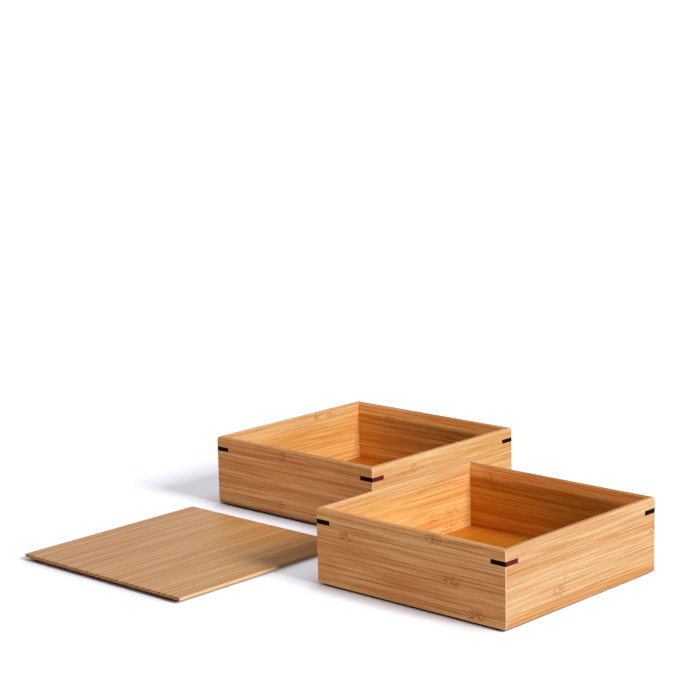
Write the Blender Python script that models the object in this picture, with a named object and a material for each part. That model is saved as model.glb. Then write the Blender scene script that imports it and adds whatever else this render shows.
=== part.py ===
"""Two-tier square lunch box of laminated bamboo, taken apart and laid out.

The box is two equal open trays and one flat lid. Each tray is four mitred
walls around a bottom board, which is held in a groove and stands below the
walls as a plinth, and the plinth nests inside the rim of the tray under it.
A dark L-shaped key is let into each corner near the rim. The lid is a flat
top board with a smaller locating board under it, which drops into the same
opening. The trays stand side by side and the lid lies beside them.
"""

import math

import bmesh
import bpy
from mathutils import Vector

MM = 0.001

# Outside of a tray, seen from above, and of its walls.
TRAY_SIZE = 150.0 * MM
WALL_HEIGHT = 48.7 * MM
WALL_THICKNESS = 3.8 * MM

# Roundings of a wall: outer rim, inner rim, outer foot and upright corner.
RIM_ROUND = 1.8 * MM
INNER_RIM_ROUND = 1.0 * MM
WALL_FOOT_ROUND = 1.5 * MM
UPRIGHT_ROUND = 0.8 * MM

# Bottom board: how far it stands below the walls, the tongue round it, and
# how far the floor stands above that tongue.
PLINTH_DROP = 0.8 * MM
BOARD_THICKNESS = 6.0 * MM
TONGUE_THICKNESS = 2.0 * MM
FLOOR_SHOULDER = 0.8 * MM
GROOVE_DEPTH = 1.8 * MM
PLINTH_ROUND = 1.0 * MM
PLINTH_CORNER = 1.5 * MM
FLOOR_CORNER = 0.4 * MM

# Corner keys: each leg along a face, how high and how deep it is let in.
KEY_LEG = 11.3 * MM
KEY_HEIGHT = 3.0 * MM
KEY_DEPTH = 2.0 * MM
KEY_BELOW_RIM = 7.1 * MM

# Lid.
LID_TOP_THICKNESS = 2.3 * MM
LID_LOCATOR_DROP = 2.0 * MM
LID_EDGE_ROUND = 0.5 * MM
LOCATOR_ROUND = 1.0 * MM

# Clearances: between pieces that are glued, and between pieces that nest.
GLUE_GAP = 0.3 * MM
NEST_GAP = 0.3 * MM
LID_GAP = 0.4 * MM

# Where the upper tray and the lid stand, from the lower tray's near corner.
UPPER_TRAY_RIGHT = 95.0 * MM
UPPER_TRAY_BACK = 188.5 * MM
LID_RIGHT = -83.0 * MM
LID_BACK = 186.5 * MM

# How far a slot cutter stands out of the wall that it cuts.
OVERCUT = 1.0 * MM

# Steps in each quarter turn of a rounding, the smallest corner that a
# rounding may leave, the angle up to which facets look like one curve, and
# the distance below which two points are one.
ROUND_STEPS = 6
LEAST_CORNER = 0.1 * MM
SMOOTH_DEGREES = 35
MERGE_DISTANCE = 0.001 * MM

# Sizes that follow from the ones above.
HALF_TRAY = TRAY_SIZE / 2
HALF_OPENING = HALF_TRAY - WALL_THICKNESS
HALF_PLINTH = HALF_OPENING - NEST_GAP
HALF_FLOOR = HALF_OPENING - GLUE_GAP
HALF_TONGUE = HALF_OPENING + GROOVE_DEPTH - GLUE_GAP
HALF_LOCATOR = HALF_OPENING - LID_GAP
WALL_FOOT_Z = PLINTH_DROP
RIM_Z = WALL_FOOT_Z + WALL_HEIGHT
TONGUE_TOP_Z = BOARD_THICKNESS - FLOOR_SHOULDER
TONGUE_Z = TONGUE_TOP_Z - TONGUE_THICKNESS
KEY_TOP_Z = RIM_Z - KEY_BELOW_RIM
LID_TOP_Z = LID_LOCATOR_DROP + LID_TOP_THICKNESS

SIDES = ("front", "right", "back", "left")
CORNERS = ("front_left", "front_right", "back_right", "back_left")


def clear_scene():
    """Remove whatever objects the open file holds."""
    for item in list(bpy.data.objects):
        bpy.data.objects.remove(item, do_unlink=True)


def make_material(name, colour, roughness):
    """One plain Principled finish."""
    material = bpy.data.materials.new(name)
    material.use_nodes = True
    shader = material.node_tree.nodes["Principled BSDF"]
    shader.inputs["Base Color"].default_value = (*colour, 1.0)
    shader.inputs["Roughness"].default_value = roughness
    shader.inputs["Metallic"].default_value = 0.0
    material.diffuse_color = (*colour, 1.0)
    return material


def finish_mesh(work, name):
    """Turn a bmesh into a mesh with its faces out and its roundings smooth."""
    bmesh.ops.remove_doubles(work, verts=work.verts, dist=MERGE_DISTANCE)
    bmesh.ops.recalc_face_normals(work, faces=work.faces)
    mesh = bpy.data.meshes.new(name)
    work.to_mesh(mesh)
    work.free()
    mesh.shade_smooth()
    mesh.set_sharp_from_angle(angle=math.radians(SMOOTH_DEGREES))
    return mesh


def loft(sections):
    """A closed solid through loops that have the same number of points."""
    work = bmesh.new()
    loops = [[work.verts.new(point) for point in section] for section in sections]
    count = len(loops[0])
    for low, high in zip(loops, loops[1:]):
        for i in range(count):
            j = (i + 1) % count
            work.faces.new((low[i], low[j], high[j], high[i]))
    work.faces.new(reversed(loops[0]))
    work.faces.new(loops[-1])
    return work


def quarter_round(centre, radius, start_degrees):
    """Points of a quarter circle that turns clockwise from start_degrees."""
    points = []
    for step in range(ROUND_STEPS + 1):
        angle = math.radians(start_degrees - 90.0 * step / ROUND_STEPS)
        across = centre[0] + radius * math.cos(angle)
        along = centre[1] + radius * math.sin(angle)
        points.append((across, along))
    return points


def wall_profile():
    """Section of a wall as (depth from its outer face, height), clockwise."""
    groove_back = WALL_THICKNESS - GROOVE_DEPTH
    groove_low = TONGUE_Z - GLUE_GAP
    groove_high = TONGUE_TOP_Z + GLUE_GAP
    foot = quarter_round(
        (WALL_FOOT_ROUND, WALL_FOOT_Z + WALL_FOOT_ROUND), WALL_FOOT_ROUND, 270
    )
    rim = quarter_round((RIM_ROUND, RIM_Z - RIM_ROUND), RIM_ROUND, 180)
    inner_rim = quarter_round(
        (WALL_THICKNESS - INNER_RIM_ROUND, RIM_Z - INNER_RIM_ROUND),
        INNER_RIM_ROUND,
        90,
    )
    groove = [
        (WALL_THICKNESS, groove_high),
        (groove_back, groove_high),
        (groove_back, groove_low),
        (WALL_THICKNESS, groove_low),
    ]
    return foot + rim + inner_rim + groove + [(WALL_THICKNESS, WALL_FOOT_Z)]


def wall_section(profile, turn, end):
    """The profile where it has turned by an angle round an upright corner."""
    points = []
    for depth, height in profile:
        radius = max(UPRIGHT_ROUND - depth, 0.0)
        inset = max(UPRIGHT_ROUND, depth)
        along = HALF_TRAY - inset + radius * math.sin(turn)
        out = HALF_TRAY - inset + radius * math.cos(turn)
        points.append((end * along, -out, height))
    return points


def wall_mesh():
    """The front wall: its profile swept past both corners, then mitred."""
    profile = wall_profile()
    turns = [math.radians(90.0 * i / ROUND_STEPS) for i in range(ROUND_STEPS + 1)]
    sections = [wall_section(profile, turn, -1) for turn in reversed(turns)]
    sections += [wall_section(profile, turn, 1) for turn in turns]
    work = loft(sections)
    bmesh.ops.remove_doubles(work, verts=work.verts, dist=MERGE_DISTANCE)
    for end in (-1, 1):
        normal = Vector((end, 1.0, 0.0)).normalized()
        cut = bmesh.ops.bisect_plane(
            work,
            geom=work.verts[:] + work.edges[:] + work.faces[:],
            dist=MERGE_DISTANCE,
            plane_co=-normal * GLUE_GAP / 2,
            plane_no=normal,
            clear_outer=True,
        )
        rim_edges = [item for item in cut["geom_cut"] if isinstance(item, bmesh.types.BMEdge)]
        bmesh.ops.edgeloop_fill(work, edges=rim_edges)
    return finish_mesh(work, "mitred_wall")


def corner_outline(leg, depth, outside, corner_round):
    """An L round the front left corner, as points seen from above."""
    corner = -HALF_TRAY
    face = corner - outside
    points = [
        (corner + leg, face),
        (corner + leg, corner + depth),
        (corner + depth, corner + depth),
        (corner + depth, corner + leg),
        (face, corner + leg),
    ]
    if corner_round:
        for step in range(ROUND_STEPS + 1):
            angle = math.radians(180.0 + 90.0 * step / ROUND_STEPS)
            centre = corner + corner_round
            points.append(
                (centre + corner_round * math.cos(angle), centre + corner_round * math.sin(angle))
            )
    else:
        points.append((face, face))
    return points


def upright_prism(outline, low, high, name):
    """An outline seen from above, raised from one height to another."""
    work = loft([[(x, y, z) for x, y in outline] for z in (low, high)])
    return finish_mesh(work, name)


def key_mesh():
    """An L-shaped key, flush with the two faces that it joins."""
    outline = corner_outline(KEY_LEG, KEY_DEPTH, 0.0, UPRIGHT_ROUND)
    return upright_prism(outline, KEY_TOP_Z - KEY_HEIGHT, KEY_TOP_Z, "corner_key")


def key_slot_mesh():
    """The slot for a key: the key with its gap all round, open outwards."""
    outline = corner_outline(KEY_LEG + GLUE_GAP, KEY_DEPTH + GLUE_GAP, OVERCUT, 0.0)
    low = KEY_TOP_Z - KEY_HEIGHT - GLUE_GAP
    return upright_prism(outline, low, KEY_TOP_Z + GLUE_GAP, "key_slot")


def rounded_square(half, corner, height):
    """A square with round corners, centred on the tray's upright axis."""
    points = []
    for quarter in range(4):
        start = 90.0 * quarter
        middle = math.radians(start + 45.0)
        centre_x = math.copysign(half - corner, math.cos(middle))
        centre_y = math.copysign(half - corner, math.sin(middle))
        for step in range(ROUND_STEPS + 1):
            angle = math.radians(start + 90.0 * step / ROUND_STEPS)
            x = centre_x + corner * math.cos(angle)
            y = centre_y + corner * math.sin(angle)
            points.append((x, y, height))
    return points


def foot_sections(half, corner, radius, low):
    """Rounded squares that grow up a rounded lower edge."""
    sections = []
    for step in range(ROUND_STEPS + 1):
        angle = math.radians(90.0 * step / ROUND_STEPS)
        inset = radius * (1.0 - math.sin(angle))
        height = low + radius * (1.0 - math.cos(angle))
        sections.append(rounded_square(half - inset, max(corner - inset, LEAST_CORNER), height))
    return sections


def head_sections(half, corner, radius, high):
    """Rounded squares that shrink up a rounded upper edge."""
    sections = []
    for step in range(ROUND_STEPS + 1):
        angle = math.radians(90.0 * step / ROUND_STEPS)
        inset = radius * (1.0 - math.cos(angle))
        height = high - radius * (1.0 - math.sin(angle))
        sections.append(rounded_square(half - inset, max(corner - inset, LEAST_CORNER), height))
    return sections


def bottom_board_mesh():
    """A plinth, a tongue for the walls' groove, and the floor above it."""
    tongue_corner = PLINTH_CORNER + HALF_TONGUE - HALF_PLINTH
    sections = foot_sections(HALF_PLINTH, PLINTH_CORNER, PLINTH_ROUND, 0.0)
    sections.append(rounded_square(HALF_PLINTH, PLINTH_CORNER, TONGUE_Z))
    sections.append(rounded_square(HALF_TONGUE, tongue_corner, TONGUE_Z))
    sections.append(rounded_square(HALF_TONGUE, tongue_corner, TONGUE_TOP_Z))
    sections.append(rounded_square(HALF_FLOOR, FLOOR_CORNER, TONGUE_TOP_Z))
    sections.append(rounded_square(HALF_FLOOR, FLOOR_CORNER, BOARD_THICKNESS))
    return finish_mesh(loft(sections), "bottom_board")


def lid_top_mesh():
    """The lid's top board, as wide as a tray, with its edges eased."""
    low = LID_LOCATOR_DROP
    sections = foot_sections(HALF_TRAY, UPRIGHT_ROUND, LID_EDGE_ROUND, low)
    sections += head_sections(HALF_TRAY, UPRIGHT_ROUND, LID_EDGE_ROUND, LID_TOP_Z)
    return finish_mesh(loft(sections), "lid_top_board")


def lid_locator_mesh():
    """The board under the lid that drops into a tray's opening."""
    sections = foot_sections(HALF_LOCATOR, PLINTH_CORNER, LOCATOR_ROUND, 0.0)
    top = LID_LOCATOR_DROP - GLUE_GAP
    sections.append(rounded_square(HALF_LOCATOR, PLINTH_CORNER, top))
    return finish_mesh(loft(sections), "lid_locating_board")


def place(name, mesh, material, parent, quarter_turns=0):
    """One piece, standing on its tray's or lid's own axis."""
    piece = bpy.data.objects.new(name, mesh)
    bpy.context.scene.collection.objects.link(piece)
    piece.parent = parent
    piece.rotation_euler = (0.0, 0.0, math.radians(90.0 * quarter_turns))
    if material.name not in mesh.materials:
        mesh.materials.append(material)
    return piece


def make_cutter(name, mesh, parent, quarter_turns):
    """A slot cutter, which shows as wire only."""
    cutter = bpy.data.objects.new(name, mesh)
    bpy.context.scene.collection.objects.link(cutter)
    cutter.parent = parent
    cutter.rotation_euler = (0.0, 0.0, math.radians(90.0 * quarter_turns))
    cutter.hide_render = True
    cutter.display_type = "WIRE"
    return cutter


def make_stand(name, corner, centre_of_all):
    """An empty on the upright axis of a tray or lid, at table height."""
    stand = bpy.data.objects.new(name, None)
    bpy.context.scene.collection.objects.link(stand)
    middle = corner + Vector((HALF_TRAY, HALF_TRAY)) - centre_of_all
    stand.location = (middle.x, middle.y, 0.0)
    return stand


def build_tray(tray, stand, meshes, finishes):
    """Four keyed, mitred walls round one bottom board."""
    cutters = [
        make_cutter(f"{tray}_slot_{corner}", meshes["slot"], stand, turn)
        for turn, corner in enumerate(CORNERS)
    ]
    for turn, side in enumerate(SIDES):
        wall = place(f"{tray}_wall_{side}", meshes["wall"], finishes["wall"], stand, turn)
        for cutter in (cutters[turn], cutters[(turn + 1) % 4]):
            slot = wall.modifiers.new(cutter.name, "BOOLEAN")
            slot.operation = "DIFFERENCE"
            slot.object = cutter
    for turn, corner in enumerate(CORNERS):
        place(f"{tray}_key_{corner}", meshes["key"], finishes["key"], stand, turn)
    place(f"{tray}_bottom_board", meshes["board"], finishes["board"], stand)


def build_lid(stand, finishes):
    """The top board and the locating board under it."""
    place("lid_top_board", lid_top_mesh(), finishes["lid"], stand)
    place("lid_locating_board", lid_locator_mesh(), finishes["lid"], stand)


def main():
    """Lay out the two trays and the lid about the middle of them all."""
    clear_scene()
    finishes = {
        "wall": make_material("bamboo_wall", (0.72, 0.45, 0.20), 0.45),
        "board": make_material("bamboo_board", (0.66, 0.36, 0.13), 0.45),
        "lid": make_material("bamboo_lid", (0.62, 0.38, 0.19), 0.45),
        "key": make_material("dark_key", (0.06, 0.02, 0.025), 0.35),
    }
    meshes = {
        "wall": wall_mesh(),
        "slot": key_slot_mesh(),
        "key": key_mesh(),
        "board": bottom_board_mesh(),
    }
    corners = [
        Vector((0.0, 0.0)),
        Vector((UPPER_TRAY_RIGHT, UPPER_TRAY_BACK)),
        Vector((LID_RIGHT, LID_BACK)),
    ]
    lowest = Vector((min(c.x for c in corners), min(c.y for c in corners)))
    highest = Vector((max(c.x for c in corners), max(c.y for c in corners)))
    middle = (lowest + highest + Vector((TRAY_SIZE, TRAY_SIZE))) / 2
    lower = make_stand("lower_tray", corners[0], middle)
    upper = make_stand("upper_tray", corners[1], middle)
    lid = make_stand("lid", corners[2], middle)
    build_tray("lower", lower, meshes, finishes)
    build_tray("upper", upper, meshes, finishes)
    build_lid(lid, finishes)
    bpy.context.view_layer.update()


main()
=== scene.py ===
# %% [markdown]
# # A two-tier lunch box in laminated bamboo
#
# The box is two equal square trays and one flat lid, taken apart and set down on a white table.
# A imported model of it, the frame, already holds every piece at its true size and place. This lesson
# dresses that frame: it models each piece again with a joiner's care, gives it a bamboo finish made
# from shader nodes alone, and lights it as a small studio would.
#
# The frame could be drawn as it is. It is measured instead, because its glued joints carry a gap
# that is wide enough to see, and its roundings have few facets. Every size that it can give is read
# from it, so the dressed box can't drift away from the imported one.

import math

import bpy
from mathutils import Matrix, Vector


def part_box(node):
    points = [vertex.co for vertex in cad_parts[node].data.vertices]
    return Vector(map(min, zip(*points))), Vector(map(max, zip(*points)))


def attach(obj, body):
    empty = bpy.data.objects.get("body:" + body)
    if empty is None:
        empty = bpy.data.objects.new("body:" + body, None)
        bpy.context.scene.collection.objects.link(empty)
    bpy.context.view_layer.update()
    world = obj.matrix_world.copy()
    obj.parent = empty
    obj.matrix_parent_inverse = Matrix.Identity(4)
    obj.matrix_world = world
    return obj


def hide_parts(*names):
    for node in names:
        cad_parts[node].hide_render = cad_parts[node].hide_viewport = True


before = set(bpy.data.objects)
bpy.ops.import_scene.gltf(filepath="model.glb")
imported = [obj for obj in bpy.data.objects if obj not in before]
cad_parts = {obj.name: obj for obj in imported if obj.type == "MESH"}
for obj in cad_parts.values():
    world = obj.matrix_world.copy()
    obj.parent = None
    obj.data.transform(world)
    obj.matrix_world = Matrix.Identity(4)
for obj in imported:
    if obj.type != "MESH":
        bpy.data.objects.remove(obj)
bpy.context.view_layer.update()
MM = 0.001
TRAYS = ("lower", "upper")
SIDES = ("front", "right", "back", "left")
CORNERS = ("front_left", "front_right", "back_right", "back_left")
print("nodes in the frame:", len(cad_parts))

# %% [markdown]
# ## What the frame tells
#
# A tray is known by three boxes: a wall gives its thickness and height, a key gives its leg and how
# far it sits below the rim, and the bottom board gives the plinth's drop and the floor's height. The
# numbers could be typed in again, but reading them keeps one source for each size.
#
# Only what a bounding box can't say is written here: the roundings, how deep a key is let in, and
# the heights of the tongue that the bottom board hides inside the walls.

# %% Sizes of a tray and of the lid
wall_low, wall_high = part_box("lower_wall_front")
key_low, key_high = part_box("lower_key_front_left")
board_low, board_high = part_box("lower_bottom_board")
lid_low, lid_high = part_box("lid_top_board")
locator_low, locator_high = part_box("lid_locating_board")

HALF_TRAY = (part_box("lower_wall_right")[1].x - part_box("lower_wall_left")[0].x) / 2
WALL_THICKNESS = wall_high.y - wall_low.y
WALL_FOOT = wall_low.z
RIM = wall_high.z
HALF_OPENING = HALF_TRAY - WALL_THICKNESS
KEY_LEG = key_high.x - key_low.x
KEY_FOOT = key_low.z
KEY_TOP = key_high.z
FLOOR = board_high.z
HALF_TONGUE = (board_high.x - board_low.x) / 2

RIM_ROUND = 1.8 * MM
FOOT_ROUND = 1.5 * MM
UPRIGHT_ROUND = 0.8 * MM
INNER_RIM_ROUND = 1.0 * MM
KEY_DEPTH = 2.0 * MM
TONGUE_LOW = 3.2 * MM
TONGUE_HIGH = 5.2 * MM
NEST_GAP = 0.3 * MM
GLUE_LINE = 0.02 * MM
PLINTH_ROUND = 1.0 * MM
PLINTH_CORNER = 1.5 * MM
LID_EDGE_ROUND = 0.5 * MM

print("tray in mm:", round(2 * HALF_TRAY / MM, 2), "wall:", round(WALL_THICKNESS / MM, 2))

# %% [markdown]
# ## Three small helpers
#
# A Blender operator acts on whatever is selected, and the frame arrives selected. So each piece is
# picked alone before an operator runs, and its faces or edges are then picked in code, by where they
# are or which way they point. That does what a click does by hand, and it gives the same result at
# every run.

# %% Pick a piece, its faces or its edges
def pick(piece):
    """Leave edit mode and select one piece alone."""
    if bpy.context.object and bpy.context.object.mode != "OBJECT":
        bpy.ops.object.mode_set(mode="OBJECT")
    bpy.ops.object.select_all(action="DESELECT")
    piece.select_set(True)
    bpy.context.view_layer.objects.active = piece


def pick_faces(piece, wanted):
    """Enter edit mode with the faces selected whose centre and normal pass a test."""
    pick(piece)
    bpy.ops.object.mode_set(mode="EDIT")
    bpy.ops.mesh.select_mode(type="FACE")
    bpy.ops.mesh.select_all(action="DESELECT")
    bpy.ops.object.mode_set(mode="OBJECT")
    for face in piece.data.polygons:
        face.select = wanted(face.center, face.normal)
    bpy.ops.object.mode_set(mode="EDIT")


def pick_edges(piece, wanted):
    """Enter edit mode with the edges selected whose two ends pass a test."""
    pick(piece)
    bpy.ops.object.mode_set(mode="EDIT")
    bpy.ops.mesh.select_mode(type="EDGE")
    bpy.ops.mesh.select_all(action="DESELECT")
    bpy.ops.object.mode_set(mode="OBJECT")
    for edge in piece.data.edges:
        first, second = (piece.data.vertices[i].co for i in edge.vertices)
        edge.select = wanted(first, second)
    bpy.ops.object.mode_set(mode="EDIT")


# %% [markdown]
# ## A sawn block and its eased edges
#
# Every piece starts as a sawn block. A joiner then eases its edges with a plane and a sanding block,
# some more than others. Three bevels one after another would spoil the corners where they meet, so
# each edge gets a bevel weight instead, and one Bevel modifier rounds them all together. Where three
# edges meet it then makes a clean ball corner.

# %% Make a block, and round its edges in one go
BEVEL_STEPS = 6


def saw_block(name, low, high):
    """A block between two corners, with its place and size in its mesh."""
    if bpy.context.object and bpy.context.object.mode != "OBJECT":
        bpy.ops.object.mode_set(mode="OBJECT")
    bpy.ops.object.select_all(action="DESELECT")
    bpy.ops.mesh.primitive_cube_add(size=1.0, location=(low + high) / 2, scale=high - low)
    block = bpy.context.object
    block.name = name
    block.data.name = name
    bpy.ops.object.transform_apply(location=True, rotation=True, scale=True)
    return block


def apply_modifier(piece, modifier):
    """Make a modifier's result the piece's own mesh."""
    pick(piece)
    bpy.ops.object.modifier_apply(modifier=modifier.name)


def ease_edges(block, upright, upper, lower):
    """Round a block's upright, upper and lower edges by three radii."""
    widest = max(upright, upper, lower)
    low = min(v.co.z for v in block.data.vertices)
    high = max(v.co.z for v in block.data.vertices)
    tests = (
        (upright, lambda a, b: abs(a.z - b.z) > (high - low) / 2),
        (upper, lambda a, b: min(a.z, b.z) > (low + high) / 2),
        (lower, lambda a, b: max(a.z, b.z) < (low + high) / 2),
    )
    for radius, wanted in tests:
        pick_edges(block, wanted)
        bpy.ops.transform.edge_bevelweight(value=radius / widest)
    bpy.ops.object.mode_set(mode="OBJECT")
    rounding = block.modifiers.new("eased_edges", "BEVEL")
    rounding.limit_method = "WEIGHT"
    rounding.width = widest
    rounding.segments = BEVEL_STEPS
    rounding.use_clamp_overlap = False
    apply_modifier(block, rounding)
    return block


tray_block = saw_block(
    "tray_block",
    Vector((-HALF_TRAY, -HALF_TRAY, WALL_FOOT)),
    Vector((HALF_TRAY, HALF_TRAY, RIM)),
)
ease_edges(tray_block, UPRIGHT_ROUND, RIM_ROUND, FOOT_ROUND)
print("faces of the eased block:", len(tray_block.data.polygons))

# %% [markdown]
# ## The ring of four walls
#
# On the bench the four walls are glued up first, and the rim and corners are rounded afterwards, so
# the rounding runs through the mitres. The model follows that order. The eased block is opened into
# a ring: its flat top and bottom are inset to the line of the opening, and the two inner squares are
# bridged. Then the rim's inner edge is eased and the groove for the bottom board is pushed into the
# walls.
#
# Four separate boards could be drawn instead, but their rounded ends would have to be matched by
# hand at every mitre.

# %% Open the block, and plough the groove
HAIR = 0.05 * MM
LEVEL = 0.999
STEEP = 0.5
INNER_RIM_STEPS = 3


def in_opening(point):
    """Whether a point lies on the inner faces of the walls, or within them."""
    return max(abs(point.x), abs(point.y)) < HALF_OPENING + HAIR


ring = tray_block.copy()
ring.data = tray_block.data.copy()
bpy.context.collection.objects.link(ring)
for flat_half, up in ((HALF_TRAY - RIM_ROUND, 1), (HALF_TRAY - FOOT_ROUND, -1)):
    pick_faces(ring, lambda centre, normal: normal.z * up > LEVEL and abs(centre.x) < HAIR)
    bpy.ops.mesh.inset(thickness=flat_half - HALF_OPENING)
pick_faces(ring, lambda centre, normal: abs(normal.z) > LEVEL and centre.xy.length < HAIR)
bpy.ops.mesh.bridge_edge_loops()
pick_edges(ring, lambda a, b: in_opening(a) and in_opening(b) and min(a.z, b.z) > RIM - HAIR)
bpy.ops.mesh.bevel(offset=INNER_RIM_ROUND, segments=INNER_RIM_STEPS, affect="EDGES")
for height in (TONGUE_LOW, TONGUE_HIGH):
    pick_faces(ring, lambda centre, normal: in_opening(centre) and abs(normal.z) < STEEP)
    bpy.ops.mesh.bisect(plane_co=(0.0, 0.0, height), plane_no=(0.0, 0.0, 1.0))
pick_faces(
    ring,
    lambda centre, normal: in_opening(centre) and TONGUE_LOW < centre.z < TONGUE_HIGH,
)
groove_half = HALF_TONGUE + GLUE_LINE
bpy.ops.mesh.extrude_region_move()
bpy.ops.transform.resize(
    value=(groove_half / HALF_OPENING, groove_half / HALF_OPENING, 1.0),
    center_override=(0.0, 0.0, 0.0),
)
bpy.ops.object.mode_set(mode="OBJECT")
print("faces of the ring:", len(ring.data.polygons))

# %% [markdown]
# ## Corner keys
#
# A dark key is let into each corner a little below the rim. It wraps the corner as an L, and its
# faces are flush with the walls, rounding included, because it is glued in proud and planed down.
# The model repeats that: an L of the key's size is cut with the eased block by an intersection, and
# what is left is the planed key. The slots are the same L, a hair larger, cut out of the ring.

# %% Cut the key and its four slots
KEY_PROUD = 1.0 * MM


def combine(piece, tool, operation):
    """Cut a piece with a tool, and throw the tool away."""
    cut = piece.modifiers.new("cut", "BOOLEAN")
    cut.operation = operation
    cut.object = tool
    apply_modifier(piece, cut)
    bpy.data.objects.remove(tool)


def key_blank(name, gap):
    """An L at the front left corner that stands a little proud of both faces."""
    corner = -HALF_TRAY
    proud = corner - KEY_PROUD
    blank = saw_block(
        name,
        Vector((proud, proud, KEY_FOOT - gap)),
        Vector((corner + KEY_LEG + gap, corner + KEY_LEG + gap, KEY_TOP + gap)),
    )
    inside = corner + KEY_DEPTH + gap
    waste = saw_block(
        "waste",
        Vector((inside, inside, KEY_FOOT - MM)),
        Vector((0.0, 0.0, KEY_TOP + MM)),
    )
    combine(blank, waste, "DIFFERENCE")
    return blank


def turned_copy(piece, name, quarter_turns):
    """A copy with its own mesh, turned about the tray's upright axis."""
    pick(piece)
    bpy.ops.object.duplicate()
    turned = bpy.context.object
    turned.name = name
    turned.data.name = name
    turned.rotation_euler.z = math.radians(90.0 * quarter_turns)
    bpy.ops.object.transform_apply(location=True, rotation=True, scale=True)
    return turned


key = key_blank("corner_key", 0.0)
planed = tray_block.copy()
planed.data = tray_block.data.copy()
bpy.context.collection.objects.link(planed)
combine(key, planed, "INTERSECT")
bpy.data.objects.remove(tray_block)

slot = key_blank("key_slot", GLUE_LINE)
for turn in range(4):
    combine(ring, turned_copy(slot, "slot_tool", turn), "DIFFERENCE")
bpy.data.objects.remove(slot)
print("faces of a key:", len(key.data.polygons))
print("faces of the slotted ring:", len(ring.data.polygons))

# %% [markdown]
# ## Sawing the ring into four walls
#
# The walls are separate boards, mitred at 45 degrees. The ring is cut along both diagonals with a
# bisect that fills its cut, each plane set back by half a glue line, which leaves the front wall
# alone. The other walls are the same board, turned by a quarter.

# %% Mitre the front wall
def saw(piece, point, away):
    """Cut off what lies beyond a plane and close the cut."""
    pick_faces(piece, lambda centre, normal: True)
    bpy.ops.mesh.bisect(plane_co=point, plane_no=away, use_fill=True, clear_outer=True)
    bpy.ops.object.mode_set(mode="OBJECT")


front_wall = turned_copy(ring, "front_wall", 0)
for end in (-1.0, 1.0):
    away = Vector((end, 1.0, 0.0)).normalized()
    saw(front_wall, -away * GLUE_LINE / 2, away)
bpy.data.objects.remove(ring)
print("faces of a wall:", len(front_wall.data.polygons))

# %% [markdown]
# ## The bottom board
#
# The board does three jobs. Its lower part is the plinth that stands 0.8 mm below the walls and
# drops into the rim of the tray beneath. Its tongue sits in the walls' groove. Its upper part is
# the floor, which fills the opening and hides the groove. It is built from the foot up: one block is
# eased at its lower edges, and its top face is stepped out for the tongue, raised, stepped in for the
# floor and raised again.

# %% Step the board out and in again
def step_top(piece, half_before, half_after, rise):
    """Carry the top face on: widen or narrow it first, then raise it."""
    top = max(v.co.z for v in piece.data.vertices)
    pick_faces(piece, lambda centre, normal: normal.z > LEVEL and centre.z > top - HAIR)
    share = half_after / half_before
    bpy.ops.mesh.extrude_region_move()
    bpy.ops.transform.resize(value=(share, share, 1.0), center_override=(0.0, 0.0, top))
    bpy.ops.mesh.extrude_region_move(TRANSFORM_OT_translate={"value": (0.0, 0.0, rise)})
    bpy.ops.object.mode_set(mode="OBJECT")


HALF_PLINTH = HALF_OPENING - NEST_GAP
HALF_FLOOR = HALF_OPENING - GLUE_LINE
bottom = saw_block(
    "bottom_board",
    Vector((-HALF_PLINTH, -HALF_PLINTH, board_low.z)),
    Vector((HALF_PLINTH, HALF_PLINTH, TONGUE_LOW + GLUE_LINE)),
)
ease_edges(bottom, PLINTH_CORNER, 0.0, PLINTH_ROUND)
tongue_rise = TONGUE_HIGH - TONGUE_LOW - 2 * GLUE_LINE
step_top(bottom, HALF_PLINTH, HALF_TONGUE, tongue_rise)
step_top(bottom, HALF_TONGUE, HALF_FLOOR, FLOOR - TONGUE_HIGH + GLUE_LINE)
print("bottom board height in mm:", round(max(v.co.z for v in bottom.data.vertices) / MM, 2))

# %% [markdown]
# ## The lid
#
# The lid is two thin boards glued face to face: a top as wide as a tray, and a locating board under
# it that drops into the opening. A single block with a rebate would look the same from above, but
# the two boards meet in a line that shows along the lid's edge, so they are two pieces here as well.

# %% Two boards for the lid
half_locator = (locator_high.x - locator_low.x) / 2
lid_top = saw_block(
    "lid_top",
    Vector((-HALF_TRAY, -HALF_TRAY, lid_low.z)),
    Vector((HALF_TRAY, HALF_TRAY, lid_high.z)),
)
ease_edges(lid_top, UPRIGHT_ROUND, LID_EDGE_ROUND, LID_EDGE_ROUND)
lid_locator = saw_block(
    "lid_locator",
    Vector((-half_locator, -half_locator, locator_low.z)),
    Vector((half_locator, half_locator, lid_low.z - GLUE_LINE)),
)
ease_edges(lid_locator, PLINTH_CORNER, 0.0, PLINTH_ROUND)
print("lid thickness in mm:", round((lid_high.z - locator_low.z) / MM, 2))

# %% [markdown]
# ## Setting the pieces out
#
# Each tray stands on its own upright axis, which is the middle of the frame's bottom board. A piece is
# copied, turned, moved there and frozen, so that its object sits at the origin and its place is in its
# mesh, as the frame's own nodes do. It then rides on its tray's or lid's body and stands in for the
# node that it was measured from.
#
# Flat faces beside a rounding would shade as if they were bent. A Weighted Normal modifier turns
# the shading normals back to the large faces, which keeps flats flat and roundings soft.

# %% Place, smooth and name each piece
SMOOTH_ANGLE = math.radians(35.0)


def axis_of(node):
    """The middle of a node seen from above, at table height."""
    low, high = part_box(node)
    return Vector(((low.x + high.x) / 2, (low.y + high.y) / 2, 0.0))


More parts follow.
